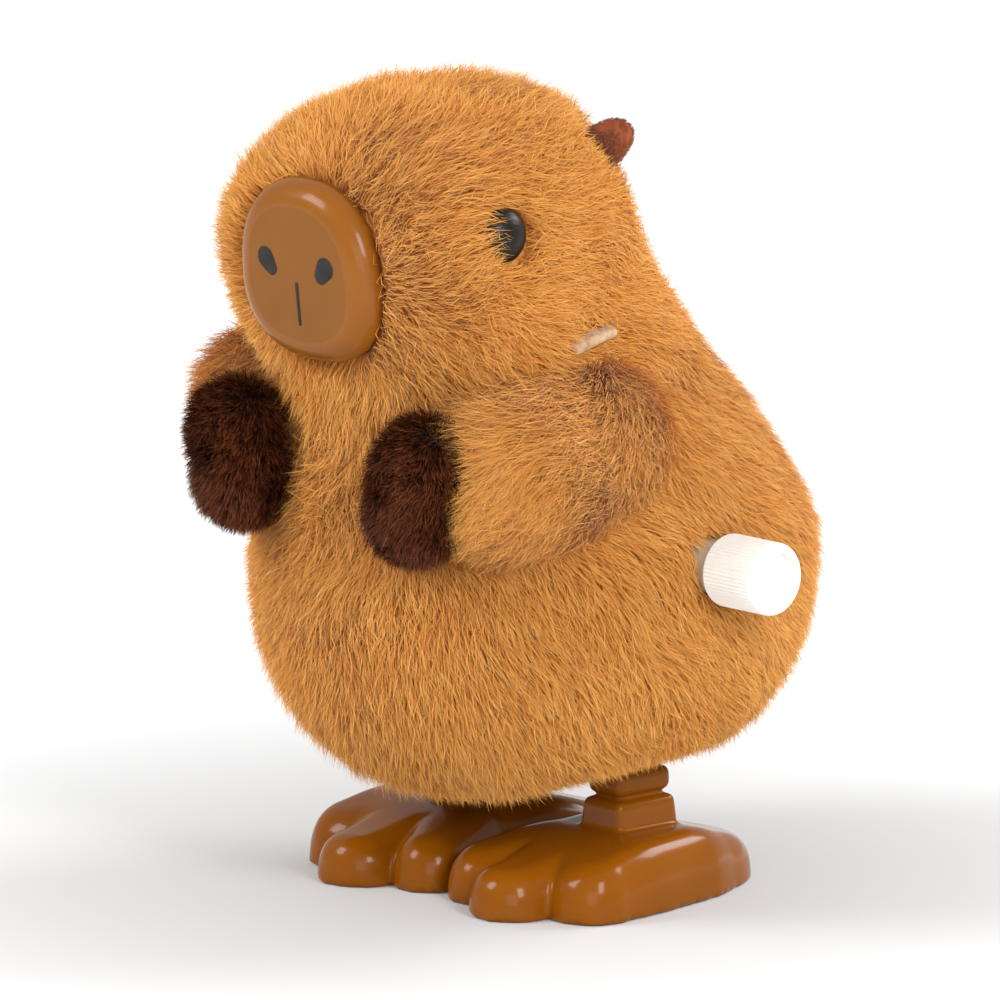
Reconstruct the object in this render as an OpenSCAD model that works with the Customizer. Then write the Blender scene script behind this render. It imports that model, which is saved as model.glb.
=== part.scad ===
// Wind-up hopping plush animal: a fur-covered body on two moulded feet, driven by a spring movement.
// Millimetres, +Z up. The origin is on the ground midway between the feet, the muzzle faces -Y,
// and the winding knob is on the +X flank.

/* [Plush body] */
// Thickness of the plush cloth with its dense lower pile
cover_thickness = 2.4; // [1.6:0.1:2.6]
// Radius of an arm sleeve
sleeve_radius = 9.25; // [8.5:0.25:10]
// Radius of a paw
paw_radius = 4.75; // [4.5:0.25:6]
// Length of a felt ear
ear_length = 9; // [8:0.5:11]

/* [Face] */
// Diameter of the moulded nose plate
nose_diameter = 22.7; // [20:0.1:24]
// Thickness of the nose plate at its rim
nose_thickness = 3.8; // [3:0.1:4.2]
// Angle by which the nose plate looks down
nose_tilt = 6; // [0:1:10]
// Diameter of an eye
eye_diameter = 7.2; // [6:0.1:8]

/* [Winding knob] */
// Diameter over the knob's ribs
knob_diameter = 9.2; // [8:0.1:10]
// Length of the knob
knob_length = 8.8; // [7:0.1:11]
// Number of grip ribs
knob_ribs = 60; // [40:1:72]
// Diameter of the winding arbor
arbor_diameter = 3; // [2.8:0.1:3.2]

/* [Legs] */
// Distance from the centre plane to a leg bar's centre
leg_x = 14.5; // [14.4:0.1:14.8]
// Width of a leg bar, front to back
bar_width = 6.5; // [6:0.1:6.6]
// Thickness of a leg bar
bar_thickness = 3; // [2.6:0.1:3]

/* [Movement] */
// Gear module of the whole train
gear_module = 0.5; // [0.5:0.1:0.5]
// Wall of the movement case
case_wall = 1.2; // [1:0.1:1.3]
// Turns of the mainspring
spring_turns = 7; // [5:1:8]

/* [Hidden] */

$fn = 48;

// Clearances
running = 0.06;   // radial, a shaft that turns in a hole
seat = 0.02;      // radial, a shaft pressed into a hole
gap = 0.15;       // between soft pieces that are sewn together

// Screws of 1.6 mm: shank, hole it cuts its thread in, hole it passes through, head, driver slot
screw_radius = 0.8;
tap_radius = 0.85;
free_radius = 0.9;
screw_head = 1.2;
screw_slot = 0.5;

// Body outline: height, front Y, back Y, half width, squareness of the ring
BODY = [
    [15, -16, 5, 9, 2],
    [17.5, -22.3, 18.5, 18.5, 2],
    [23, -28, 27, 26, 2],
    [30, -31.5, 31.5, 31, 2],
    [38, -32.5, 33.6, 33, 2],
    [46, -32, 33.4, 33, 2],
    [54, -30.5, 28.4, 31, 2],
    [61, -29.5, 23.2, 28, 2.1],
    [67, -31, 17.2, 25, 2.3],
    [73, -34, 11.8, 23.5, 2.7],
    [80, -36.3, 5.4, 22.5, 3.2],
    [87, -36.5, 2.6, 22, 3.2],
    [93, -34.3, 2.8, 20, 2.8],
    [98, -29, 0.2, 16, 2.3],
    [100.8, -23.5, -4.5, 9, 2]
];
RING_POINTS = 40;
RING_LEVELS = 28;
// Levels of the body loft beside the arms, beside the ears and in the head
ARM_LEVELS = [10, 19];
EAR_LEVELS = [24, 28];
HEAD_LEVELS = [17, 28];

// Arm sleeve, from the shoulder to the cuff, and the paw that comes out of it
shoulder = [23.2, -12.5, 60.8];
elbow = [22.6, -19, 58.7];
cuff = [20.4, -23.7, 56.7];
cuff_inset = 1;   // how much the sleeve narrows at its cuff
paw_top = [17, -33.8, 60];
paw_tip = [15.8, -34, 53.8];
soft_fn = 24;   // facets of the soft pieces and the feet

// Middle line of the woven tape that shows over an arm's top seam
TAPE = [[25.6, -15.4, 72.3], [26.1, -11.4, 73.6], [25.4, -7.2, 74]];
tape_thickness = 1.8;
tape_fold = 2;   // how far the tape stands in from its outer edge

// Winding axis and the other arbors, as [Y, Z] across the movement
winding_axis = [0, 45];
great_teeth = 36;
second_pinion_teeth = 9;
second_teeth = 26;
cam_pinion_teeth = 10;
cam_teeth = 22;
star_pinion_teeth = 8;
second_direction = -58;
cam_direction = 188;
star_direction = 140;
pallet_direction = 100;
pallet_distance = 6.2;

function pitch_radius(teeth) = gear_module * teeth / 2;
function offset_point(p, angle, distance) = p + distance * [cos(angle), sin(angle)];

second_axis = offset_point(winding_axis, second_direction,
    pitch_radius(great_teeth + second_pinion_teeth));
cam_axis = offset_point(second_axis, cam_direction, pitch_radius(second_teeth + cam_pinion_teeth));
star_axis = offset_point(cam_axis, star_direction, pitch_radius(cam_teeth + star_pinion_teeth));
pallet_axis = offset_point(star_axis, pallet_direction, pallet_distance);

// Movement case, outside
case_half_x = 12;
case_half_y = 15.5;
case_bottom = 26.5;
case_top = 57.5;
case_screw_spots = [[-12.4, 54.4], [12.4, 54.4], [-12.8, 34.6]];
base_screw_x = 9.2;
base_screw_y = 12.8;

// Stations of the train along X, start and end of each wheel
great_x = [1, 2.8];
ratchet_x = [3.1, 4.3];
spring_x = [5, 9.6];
second_wheel_x = [-1.6, -0.2];
second_pinion_x = [-0.2, 3];
cam_pinion_x = [-1.9, 0.1];
cam_wheel_x = [-4, -2.6];
hop_cam_x = [-6.6, -5];
star_pinion_x = [-4.2, -2.4];
star_x = [-8.4, -7.2];
arbor_reach = case_half_x - 0.2;
arbor_radius = arbor_diameter / 2;
pivot_radius = 0.6;

// Base plate and legs
base_radius = 19.6;
base_bottom = 20;
base_top = 21.5;
leg_y = 3.5;
pivot_z = 38;
pivot_pin_radius = 1.5;
bar_bottom = 5;
cross_bar_z = [22.6, 25];
leg_slot_back = 12;
cover_slot_x = 3.4;
cover_slot_y = [-1.8, 13.6];
collar_size = [5.4, 8.4, 3.2];
collar_z = 13.2;
spring_lug_y = 15.2;
return_spring_x = 3.4;
return_spring_z = 23.8;

// Inner shell, an egg of revolution round Z with its widest ring at egg_z
egg_radius = 27.2;
egg_z = 43;
egg_down = 32;
egg_up = 22.3;
egg_power = 2.2;
egg_wall = 1.4;
shell_screw_spots = [[-20.6, 34], [20.6, 36], [0, 61.2]];

// Face
nose_centre = [0, -35.9, 82.8];
eye_centre = [21.3, -24.8, 88.3];
ear_root = [13.4, -4.4, 93.2];

// Bush and knob along X
bush_x = [23.6, 35.6];
bush_radius = 3.4;
knob_x = 36;

// ---------------------------------------------------------------- shared shapes

function powered(v, p) = sign(v) * pow(abs(v), p);

function station_index(z) =
    max([0, for (i = [0 : len(BODY) - 2]) if (z >= BODY[i][0]) i]);

function station_slope(i, k) =
    let (a = max(i - 1, 0), b = min(i + 1, len(BODY) - 1))
    (BODY[b][k] - BODY[a][k]) / (BODY[b][0] - BODY[a][0]);

// One column of the body outline at any height, on a smooth curve through the stations
function outline(z, k) =
    let (
        i = station_index(z),
        h = BODY[i + 1][0] - BODY[i][0],
        t = (z - BODY[i][0]) / h
    )
    (2 * t * t * t - 3 * t * t + 1) * BODY[i][k]
    + (t * t * t - 2 * t * t + t) * h * station_slope(i, k)
    + (3 * t * t - 2 * t * t * t) * BODY[i + 1][k]
    + (t * t * t - t * t) * h * station_slope(i + 1, k);

function body_ring(z, inset) =
    let (
        front = outline(z, 1) + inset,
        back = outline(z, 2) - inset,
        half_width = outline(z, 3) - inset,
        power = 2 / outline(z, 4)
    )
    [for (j = [0 : RING_POINTS - 1])
        let (a = 360 * j / RING_POINTS)
        [
            half_width * powered(cos(a), power),
            (front + back) / 2 + (back - front) / 2 * powered(sin(a), power),
            z
        ]
    ];

// The body as one closed loft, drawn in by inset all round, between two of its levels
module body_loft(inset, levels = [0, RING_LEVELS]) {
    low = BODY[0][0] + max(inset, 0);
    high = BODY[len(BODY) - 1][0] - max(inset, 0);
    n = RING_POINTS;
    count = levels[1] - levels[0];
    points = [for (i = [levels[0] : levels[1]])
        each body_ring(low + (high - low) * i / RING_LEVELS, inset)
    ];
    sides = [for (i = [0 : count - 1], j = [0 : n - 1])
        let (a = i * n + j, b = i * n + (j + 1) % n)
        each [[a, a + n, b], [b, a + n, b + n]]
    ];
    bottom = [for (j = [0 : n - 1]) j];
    top = [for (j = [0 : n - 1]) count * n + n - 1 - j];
    polyhedron(points, concat([bottom], sides, [top]), convexity = 6);
}

// A flat shape in the Y-Z plane, thickened from x[0] to x[1]
module plate_x(x) {
    translate([x[0], 0, 0])
        rotate([90, 0, 90])
            linear_extrude(x[1] - x[0])
                children();
}

// A round rod along X through p = [Y, Z]
module rod_x(x, p, r) {
    translate([x[0], p[0], p[1]])
        rotate([0, 90, 0])
            cylinder(h = x[1] - x[0], r = r);
}

module both_sides() {
    children();
    mirror([1, 0, 0]) children();
}

// ---------------------------------------------------------------- gears

tooth_top = 0.75 * gear_module;
tooth_bottom = 1.2 * gear_module;
half_tooth = 0.6 * gear_module;
half_tip = 0.24 * gear_module;

function polar(r, angle) = r * [cos(angle), sin(angle)];

function tooth(r, angle) = [
    polar(r - tooth_bottom, angle - half_tooth / r * 57.3 * 1.15),
    polar(r, angle - half_tooth / r * 57.3),
    polar(r + tooth_top, angle - half_tip / r * 57.3),
    polar(r + tooth_top, angle + half_tip / r * 57.3),
    polar(r, angle + half_tooth / r * 57.3),
    polar(r - tooth_bottom, angle + half_tooth / r * 57.3 * 1.15)
];

// Outline of a gear with a tooth at first_tooth degrees
module gear_outline(teeth, first_tooth) {
    polygon([for (i = [0 : teeth - 1]) each tooth(pitch_radius(teeth), first_tooth + 360 * i / teeth)]);
}

module gear(x, p, teeth, first_tooth, bore) {
    difference() {
        translate([0, p[0], p[1]])
            plate_x(x)
                gear_outline(teeth, first_tooth);
        rod_x([x[0] - 1, x[1] + 1], p, bore);
    }
}

// The angle that puts a gap of a driven gear opposite the tooth that drives it
function facing_gap(direction, teeth) = direction + 180 + 180 / teeth;

// ---------------------------------------------------------------- plush pieces

module plush_cover() {
    color("peru")
        difference() {
            body_loft(0);
            body_loft(cover_thickness);
            both_sides()
                translate([leg_x - cover_slot_x, cover_slot_y[0], 10])
                    cube([2 * cover_slot_x, cover_slot_y[1] - cover_slot_y[0], 14]);
            rod_x([20, 40], winding_axis, bush_radius + 0.4);
            both_sides() {
                rod_x([eye_centre[0] - 0.2, 30], [eye_centre[1], eye_centre[2]], eye_diameter / 2 + 0.3);
                rod_x([10, 30], [eye_centre[1], eye_centre[2]], 1.2);
            }
            nose_frame() {
                translate([0, 0, -0.2]) cylinder(h = 10, d = nose_diameter + 0.6);
                translate([0, 0, -8]) cylinder(h = 10, r = 1.7);
            }
        }
}

module head_stuffing() {
    color("ivory")
        difference() {
            body_loft(cover_thickness + 0.3, HEAD_LEVELS);
            both_sides()
                rod_x([10, 40], [eye_centre[1], eye_centre[2]], 3.4);
            nose_frame()
                translate([0, 0, -8]) cylinder(h = 18, r = 4.6);
        }
}

module sleeve(grow) {
    hull() {
        translate(shoulder) sphere(sleeve_radius + grow, $fn = soft_fn);
        translate(elbow) sphere(sleeve_radius + grow, $fn = soft_fn);
        translate(cuff) sphere(sleeve_radius - cuff_inset + grow, $fn = soft_fn);
    }
}

module arm() {
    color("peru")
        difference() {
            sleeve(0);
            body_loft(-gap, ARM_LEVELS);
        }
}

module paw() {
    color([0.16, 0.08, 0.05])
        difference() {
            hull() {
                translate(paw_top) sphere(paw_radius, $fn = soft_fn);
                translate(paw_tip) sphere(paw_radius, $fn = soft_fn);
            }
            sleeve(gap);
            body_loft(-gap, ARM_LEVELS);
        }
}

module arm_seam_tapes() {
    color("antiquewhite")
        difference() {
            both_sides()
                for (i = [0, 1])
                    hull()
                        for (p = [TAPE[i], TAPE[i + 1]], inward = [0, tape_fold])
                            translate(p - [inward, 0, 0]) sphere(d = tape_thickness, $fn = 16);
            body_loft(-0.05, HEAD_LEVELS);
        }
}

module ear() {
    ear_width = 6.6;
    ear_thickness = 2;
    leaf_radius = (ear_length * ear_length + ear_width * ear_width) / (4 * ear_width);
    color([0.5, 0.26, 0.15])
        difference() {
            translate(ear_root)
                rotate([0, 50, 25])
                    translate([0, 0, ear_length / 2 - 1])
                        rotate([90, 0, 0])
                            translate([0, 0, -ear_thickness / 2])
                                intersection_for (s = [-1, 1])
                                    translate([s * (leaf_radius - ear_width / 2), 0, 0])
                                        cylinder(h = ear_thickness, r = leaf_radius, $fn = 64);
            body_loft(-0.05, EAR_LEVELS);
        }
}

// ---------------------------------------------------------------- face pieces

// Places a shape drawn outward along +Z on the muzzle
module nose_frame() {
    translate(nose_centre)
        rotate([90 + nose_tilt, 0, 0])
            children();
}

module nose_plate() {
    rim = 1.7;
    r = nose_diameter / 2;
    dome = 0.5;
    stud_radius = 1.5;
    stud_length = 6.5;
    color([0.66, 0.42, 0.2])
        nose_frame()
            rotate_extrude($fn = 96)
                polygon([
                    [0, -stud_length], [stud_radius, -stud_length], [stud_radius, 0], [r - 0.6, 0], [r, 0.6],
                    for (a = [0 : 15 : 90])
                        [r - rim + rim * cos(a), nose_thickness - dome - rim + rim * sin(a)],
                    [r * 0.5, nose_thickness - dome * 0.25],
                    [0, nose_thickness]
                ]);
}

module nose_washer() {
    color("whitesmoke")
        nose_frame()
            translate([0, 0, -5])
                difference() {
                    cylinder(h = 1, r = 4);
                    translate([0, 0, -1]) cylinder(h = 3, r = 1.5 + seat);
                }
}

module eye() {
    r = eye_diameter / 2;
    dome = 2.6;
    stud_radius = 1;
    stud_length = 8;
    color([0.05, 0.04, 0.04])
        translate(eye_centre)
            rotate([0, 90, 0])
                rotate_extrude($fn = 64)
                    polygon([
                        [0, -stud_length], [stud_radius, -stud_length], [stud_radius, 0],
                        for (a = [0 : 10 : 80]) [r * cos(a), dome * sin(a)],
                        [0, dome]
                    ]);
}

module eye_washers() {
    color("whitesmoke")
        both_sides()
            difference() {
                rod_x([eye_centre[0] - 7.4, eye_centre[0] - 6.4], [eye_centre[1], eye_centre[2]], 3);
                rod_x([10, 30], [eye_centre[1], eye_centre[2]], 1 + seat);
            }
}

// ---------------------------------------------------------------- inner shell and base

function egg_r(z, radius, down, up) =
    let (u = abs(z - egg_z) / (z < egg_z ? down : up))
    radius * pow(max(1 - pow(u, egg_power), 0), 1 / egg_power);

function egg_outline(radius, down, up, low) = [
    [0, low],
    for (i = [0 : 8]) let (z = low + (egg_z - low) * i / 9) [egg_r(z, radius, down, up), z],
    for (a = [0 : 9 : 81]) let (z = egg_z + up * sin(a)) [egg_r(z, radius, down, up), z],
    [0, egg_z + up]
];

module egg(inset, low) {
    rotate_extrude($fn = 72)
        polygon(egg_outline(egg_radius - inset, egg_down - inset, egg_up - inset, low));
}

module shell_solid() {
    difference() {
        egg(0, base_top + 0.05);
        egg(egg_wall, base_top - 1);
    }
    intersection() {
        egg(0.3, base_top + 0.05);
        for (p = shell_screw_spots) rod_x([-30, 30], p, 2.3);
    }
}

module inner_shell_left() {
    color("gainsboro")
        difference() {
            shell_solid();
            translate([-60, -60, 0]) cube([60, 120, 120]);
            for (p = shell_screw_spots) rod_x([-1, 5], p, tap_radius);
            rod_x([20, 40], winding_axis, bush_radius + seat);
        }
}

module inner_shell_right() {
    color("gainsboro")
        difference() {
            shell_solid();
            translate([0, -60, 0]) cube([60, 120, 120]);
            for (p = shell_screw_spots) {
                rod_x([-10, 1], p, free_radius);
                rod_x([-40, -6], p, 1.9);
            }
        }
}

// Pan-head screw along X: shank from 0 to length, head before 0
module screw_x(p, x, length, head_radius) {
    rod_x([x, x + length], p, screw_radius);
    difference() {
        rod_x([x - screw_head, x], p, head_radius);
        translate([x - 1.6, p[0] - screw_slot / 2, p[1] - head_radius - 0.1])
            cube([0.9, screw_slot, 2 * head_radius + 0.2]);
    }
}

module shell_screws() {
    color("silver")
        for (p = shell_screw_spots) screw_x(p, -6, 10.5, 1.7);
}

module base_plate() {
    color("gainsboro")
        difference() {
            union() {
                translate([0, 0, base_bottom]) cylinder(h = base_top - base_bottom, r = base_radius, $fn = 96);
                for (x = [-1, 1], y = [-1, 1])
                    translate([x * base_screw_x, y * base_screw_y, base_bottom])
                        cylinder(h = case_bottom - base_bottom, r = 2);
                translate([return_spring_x - 3, spring_lug_y, base_top - 0.5])
                    cube([6, 1.4, 5]);
            }
            both_sides()
                translate([leg_x - bar_thickness / 2 - 0.4, leg_y - bar_width / 2 - 0.15, base_bottom - 1])
                    cube([bar_thickness + 0.8, leg_slot_back - leg_y + bar_width / 2 + 0.15, 4]);
            for (x = [-1, 1], y = [-1, 1])
                translate([x * base_screw_x, y * base_screw_y, 0]) {
                    translate([0, 0, base_bottom - 1]) cylinder(h = 10, r = free_radius);
                    translate([0, 0, base_bottom - 1]) cylinder(h = 2.2, r = 1.75);
                }
        }
}

module base_screws() {
    color("silver")
        for (x = [-1, 1], y = [-1, 1])
            translate([x * base_screw_x, y * base_screw_y, base_bottom]) {
                translate([0, 0, screw_head]) cylinder(h = 10, r = screw_radius);
                difference() {
                    cylinder(h = screw_head, r = 1.65);
                    translate([-2, -screw_slot / 2, -0.5]) cube([4, screw_slot, 1]);
                }
            }
}

// ---------------------------------------------------------------- movement case

// One half of the case, on the side s: -1 or 1
module case_half(s) {
    inner_y = case_half_y - case_wall;
    side = s > 0 ? [0, case_half_x] : [-case_half_x, 0];
    hollow = s > 0 ? [-1, case_half_x - case_wall] : [-case_half_x + case_wall, 1];
    difference() {
        union() {
            difference() {
                translate([side[0], -case_half_y, case_bottom])
                    cube([case_half_x, 2 * case_half_y, case_top - case_bottom]);
                translate([hollow[0], -inner_y, case_bottom + case_wall])
                    cube([hollow[1] - hollow[0], 2 * inner_y, case_top - case_bottom - 2 * case_wall]);
            }
            for (p = case_screw_spots) rod_x(side, p, 1.7);
            for (y = [-1, 1])
                translate([s * base_screw_x, y * base_screw_y, case_bottom])
                    cylinder(h = 6, r = 1.7);
        }
        for (y = [-1, 1])
            translate([s * base_screw_x, y * base_screw_y, case_bottom - 1])
                cylinder(h = 6.4, r = tap_radius);
        rod_x([side[0] - 1, side[1] + 1], second_axis, pivot_radius + running);
        rod_x([side[0] - 1, side[1] + 1], cam_axis, pivot_radius + running);
        rod_x([side[0] - 1, side[1] + 1], star_axis, pivot_radius + running);
        rod_x(s > 0 ? [8, 13] : [-13, -8], [leg_y, pivot_z], pivot_pin_radius + seat);
    }
}

module movement_case_left() {
    color("whitesmoke")
        difference() {
            case_half(1);
            for (p = case_screw_spots) rod_x([-1, 5], p, tap_radius);
            rod_x([8, 13], winding_axis, arbor_radius + running);
            rod_x([8, 13], anchor_pin_spot(), 0.6 + seat);
        }
}

module movement_case_right() {
    color("whitesmoke")
        difference() {
            case_half(-1);
            for (p = case_screw_spots) rod_x([-13, 1], p, free_radius);
            rod_x([-13, -8], winding_axis, pivot_radius + running);
            rod_x([-13, -8], pallet_axis, pivot_radius + seat);
            translate([hop_cam_x[0] - 0.5, 1.6, case_bottom - 1])
                cube([hop_cam_x[1] - hop_cam_x[0] + 1, 6.6, 3]);
        }
}

module case_screws() {
    color("silver")
        for (p = case_screw_spots) screw_x(p, -case_half_x, 16.5, 1.6);
}

// ---------------------------------------------------------------- winding parts

module knob_neck_bush() {
    flange = 1.2;
    color([0.85, 0.82, 0.78])
        difference() {
            union() {
                rod_x(bush_x, winding_axis, bush_radius);
                rod_x([bush_x[0], bush_x[0] + flange], winding_axis, bush_radius + flange);
            }
            rod_x([bush_x[0] - 1, bush_x[1] + 1], winding_axis, arbor_radius + running);
        }
}

module knob_section() {
    rib = 0.15;
    r = knob_diameter / 2;
    polygon([for (i = [0 : knob_ribs - 1], s = [0, 1])
        polar(r - s * rib, (i + s / 2) * 360 / knob_ribs)
    ]);
}

module winding_knob() {
    r = knob_diameter / 2;
    turned = r + 0.1;   // radius of the turned outline, just outside the ribs
    edge = 1;
    far = knob_x + knob_length;
    color("white")
        difference() {
            intersection() {
                translate([0, winding_axis[0], winding_axis[1]])
                    plate_x([knob_x, far])
                        knob_section();
                translate([knob_x, winding_axis[0], winding_axis[1]])
                    rotate([0, 90, 0])
                        rotate_extrude($fn = 96)
                            polygon([
                                [0, 0], [r - 0.4, 0], [turned, 0.5],
                                for (a = [0 : 15 : 90])
                                    [turned - edge + edge * cos(a), knob_length - edge + edge * sin(a)],
                                [0, knob_length]
                            ]);
            }
            rod_x([knob_x - 1, far - 2.5], winding_axis, arbor_radius + seat);
            difference() {
                rod_x([far - 1.1, far + 1], winding_axis, r - 1.2);
                rod_x([far - 1.2, far + 1.1], winding_axis, r - 2.7);
                translate([far - 1.2, winding_axis[0] - 0.7, winding_axis[1] - r])
                    cube([3, 1.4, 2 * r]);
            }
        }
}

module winding_arbor() {
    color("silver") {
        rod_x([-arbor_reach, -10.2], winding_axis, pivot_radius);
        rod_x([-10.2, 0.7], winding_axis, 1.2);
        rod_x([0.7, knob_x + knob_length - 2.8], winding_axis, arbor_radius);
    }
}

module ratchet_wheel() {
    teeth = 12;
    color("goldenrod")
        difference() {
            translate([0, winding_axis[0], winding_axis[1]])
                plate_x(ratchet_x)
                    polygon([for (i = [0 : teeth - 1], s = [0, 1])
                        polar(s == 0 ? 3 : 3.8, 360 * (i + s * 0.1) / teeth)
                    ]);
            rod_x([0, 6], winding_axis, arbor_radius + seat);
        }
}

spring_inner = arbor_radius + 0.35;
spring_outer = 8.9;
spring_strip = 0.35;

function spiral_point(t, out) =
    polar(spring_inner + out + (spring_outer - spring_inner) * t, 150 + 360 * spring_turns * t);

module mainspring() {
    steps = 24 * spring_turns;
    color("slategray")
        translate([0, winding_axis[0], winding_axis[1]])
            plate_x(spring_x)
                polygon(concat(
                    [for (i = [0 : steps]) spiral_point(i / steps, 0)],
                    [for (i = [0 : steps]) spiral_point(1 - i / steps, spring_strip)]
                ));
}

function anchor_pin_spot() = offset_point(winding_axis, 150, spring_outer + spring_strip + 0.7);

module spring_anchor_pin() {
    color("silver")
        rod_x([spring_x[0], arbor_reach], anchor_pin_spot(), 0.6);
}

// ---------------------------------------------------------------- gear train

click_angle = 100;
click_pivot = offset_point(winding_axis, click_angle, 6.3);

module great_wheel() {
    color("gold")
        difference() {
            gear(great_x, winding_axis, great_teeth, second_direction, arbor_radius + running);
            rod_x([0, 4], click_pivot, 0.5 + seat);
        }
}

// The click stands lifted just clear of the ratchet, as it does while the knob is turned
module click() {
    tip = offset_point(winding_axis, click_angle - 38, 4.7);
    color("silver")
        difference() {
            plate_x([ratchet_x[0], ratchet_x[1]])
                hull() {
                    translate(click_pivot) circle(1.1);
                    translate(tip) circle(0.45, $fn = 24);
                }
            rod_x([2, 6], click_pivot, 0.5 + seat);
        }
}

module click_rivet() {
    color("silver") {
        rod_x([great_x[0], ratchet_x[1]], click_pivot, 0.5);
        rod_x([ratchet_x[1], ratchet_x[1] + 0.3], click_pivot, 0.9);
    }
}

module second_wheel() {
    color("ivory") {
        gear(second_wheel_x, second_axis, second_teeth, cam_direction, 0.75 + seat);
        gear(second_pinion_x, second_axis, second_pinion_teeth,
            facing_gap(second_direction, second_pinion_teeth), 0.75 + seat);
    }
}

// A plain arbor across the case, thinner where it turns in the walls
module train_arbor(p, r) {
    color("silver") {
        rod_x([-arbor_reach, -case_half_x + case_wall + 0.1], p, pivot_radius);
        rod_x([-case_half_x + case_wall + 0.1, case_half_x - case_wall - 0.1], p, r);
        rod_x([case_half_x - case_wall - 0.1, arbor_reach], p, pivot_radius);
    }
}

module second_arbor() {
    train_arbor(second_axis, 0.75);
}

module cam_wheel() {
    color("ivory") {
        gear(cam_wheel_x, cam_axis, cam_teeth, star_direction, 0.75 + seat);
        difference() {
            rod_x([cam_wheel_x[1], cam_pinion_x[0]], cam_axis, 1.8);
            rod_x([-6, 2], cam_axis, 0.75 + seat);
        }
        gear(cam_pinion_x, cam_axis, cam_pinion_teeth,
            facing_gap(cam_direction, cam_pinion_teeth), 0.75 + seat);
    }
}

module cam_arbor() {
    train_arbor(cam_axis, 0.75);
}

// Snail with two lobes: two hops for each turn
module hop_cam() {
    low = 4;
    high = 5.9;
    color("tan")
        difference() {
            union() {
                translate([0, cam_axis[0], cam_axis[1]])
                    plate_x(hop_cam_x)
                        polygon([for (a = [0 : 7.5 : 359]) polar(low + (high - low) * ((a % 180) / 180), a)]);
                rod_x([hop_cam_x[1], cam_wheel_x[0] - 0.05], cam_axis, 1.6);
            }
            rod_x([-8, -3], cam_axis, 0.75 + seat);
        }
}

module star_wheel() {
    points = 9;
    color("ivory") {
        difference() {
            union() {
                translate([0, star_axis[0], star_axis[1]])
                    plate_x(star_x)
                        polygon([for (i = [0 : points - 1], s = [0, 1])
                            polar(s == 0 ? 3.5 : 2.4, 360 * (i + s / 2) / points)
                        ]);
                rod_x([star_x[1] - 0.1, star_pinion_x[0] + 0.1], star_axis, 1);
            }
            rod_x([-9, 0], star_axis, 0.6 + seat);
        }
        gear(star_pinion_x, star_axis, star_pinion_teeth,
            facing_gap(star_direction, star_pinion_teeth), 0.6 + seat);
    }
}

module star_arbor() {
    train_arbor(star_axis, 0.6);
}

// Anchor over the star wheel, held a little clear of its points
module pallet() {
    inner = 4.15;
    outer = 5.3;
    color("silver")
        difference() {
            plate_x(star_x) {
                intersection() {
                    translate(star_axis)
                        difference() {
                            circle(outer);
                            circle(inner);
                        }
                    translate(star_axis)
                        rotate(pallet_direction)
                            polygon([[0, 0], [9, -12], [14, 0], [9, 12]]);
                }
                translate(pallet_axis) circle(1.5);
            }
            rod_x([-10, -6], pallet_axis, pivot_radius + running);
        }
}

module pallet_pin() {
    color("silver")
        rod_x([-arbor_reach, star_x[1] + 0.4], pallet_axis, pivot_radius);
}

// ---------------------------------------------------------------- legs

module leg_frame() {
    half = bar_width / 2;
    color([0.54, 0.42, 0.35])
        difference() {
            union() {
                both_sides() {
                    translate([leg_x - bar_thickness / 2, leg_y - half, bar_bottom])
                        cube([bar_thickness, bar_width, pivot_z - bar_bottom]);
                    rod_x([leg_x - bar_thickness / 2, leg_x + bar_thickness / 2], [leg_y, pivot_z], half);
                }
                translate([-leg_x, leg_y - 2.5, cross_bar_z[0]])
                    cube([2 * leg_x, 5, cross_bar_z[1] - cross_bar_z[0]]);
                translate([hop_cam_x[0], 2.5, cross_bar_z[0]])
                    cube([hop_cam_x[1] - hop_cam_x[0], 1.5, 32 - cross_bar_z[0]]);
            }
            rod_x([-20, 20], [leg_y, pivot_z], pivot_pin_radius + running);
        }
}

module leg_pivot_pins() {
    color("silver")
        both_sides() {
            rod_x([case_half_x - case_wall + 0.1, leg_x + bar_thickness / 2 + 0.2], [leg_y, pivot_z],
                pivot_pin_radius);
            rod_x([leg_x + bar_thickness / 2 + 0.2, leg_x + bar_thickness / 2 + 1.2], [leg_y, pivot_z], 2.5);
        }
}

// A low dome on the ground: centre in X and Y, half sizes in X, Y and Z
module dome(centre, half_size) {
    translate([centre[0], centre[1], 0])
        scale(half_size)
            sphere(1, $fn = soft_fn);
}

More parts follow.
